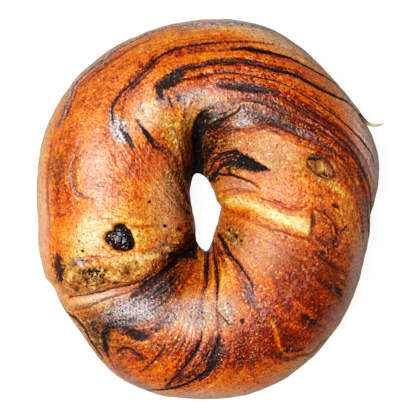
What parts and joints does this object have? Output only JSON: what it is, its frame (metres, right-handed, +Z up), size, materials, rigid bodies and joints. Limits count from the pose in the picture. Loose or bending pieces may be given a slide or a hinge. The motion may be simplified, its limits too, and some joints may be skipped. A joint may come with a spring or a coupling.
{
  "type": "cinnamon raisin bagel",
  "caption": "Baked ring of hand-rolled swirl dough with a slit-like hole, an overlap fold, gathered pleats and a raisin in its crust, resting on its flat base.",
  "frame": {"origin": "middle of the base of the bagel's box, on the surface that it lies on", "axes": "+Z up through the hole, +Y along the longer way across, +X to the right as seen from above"},
  "size_m": [0.107, 0.1186, 0.0428],
  "materials": {
    "crust": "glossy baked crust, orange brown with dark cinnamon streaks, paler and duller on its flanks and base",
    "raisin": "wrinkled and sticky, nearly black"
  },
  "bodies": {
    "root": {"dough": "crust", "raisin": "raisin"}
  },
  "joints": []
}
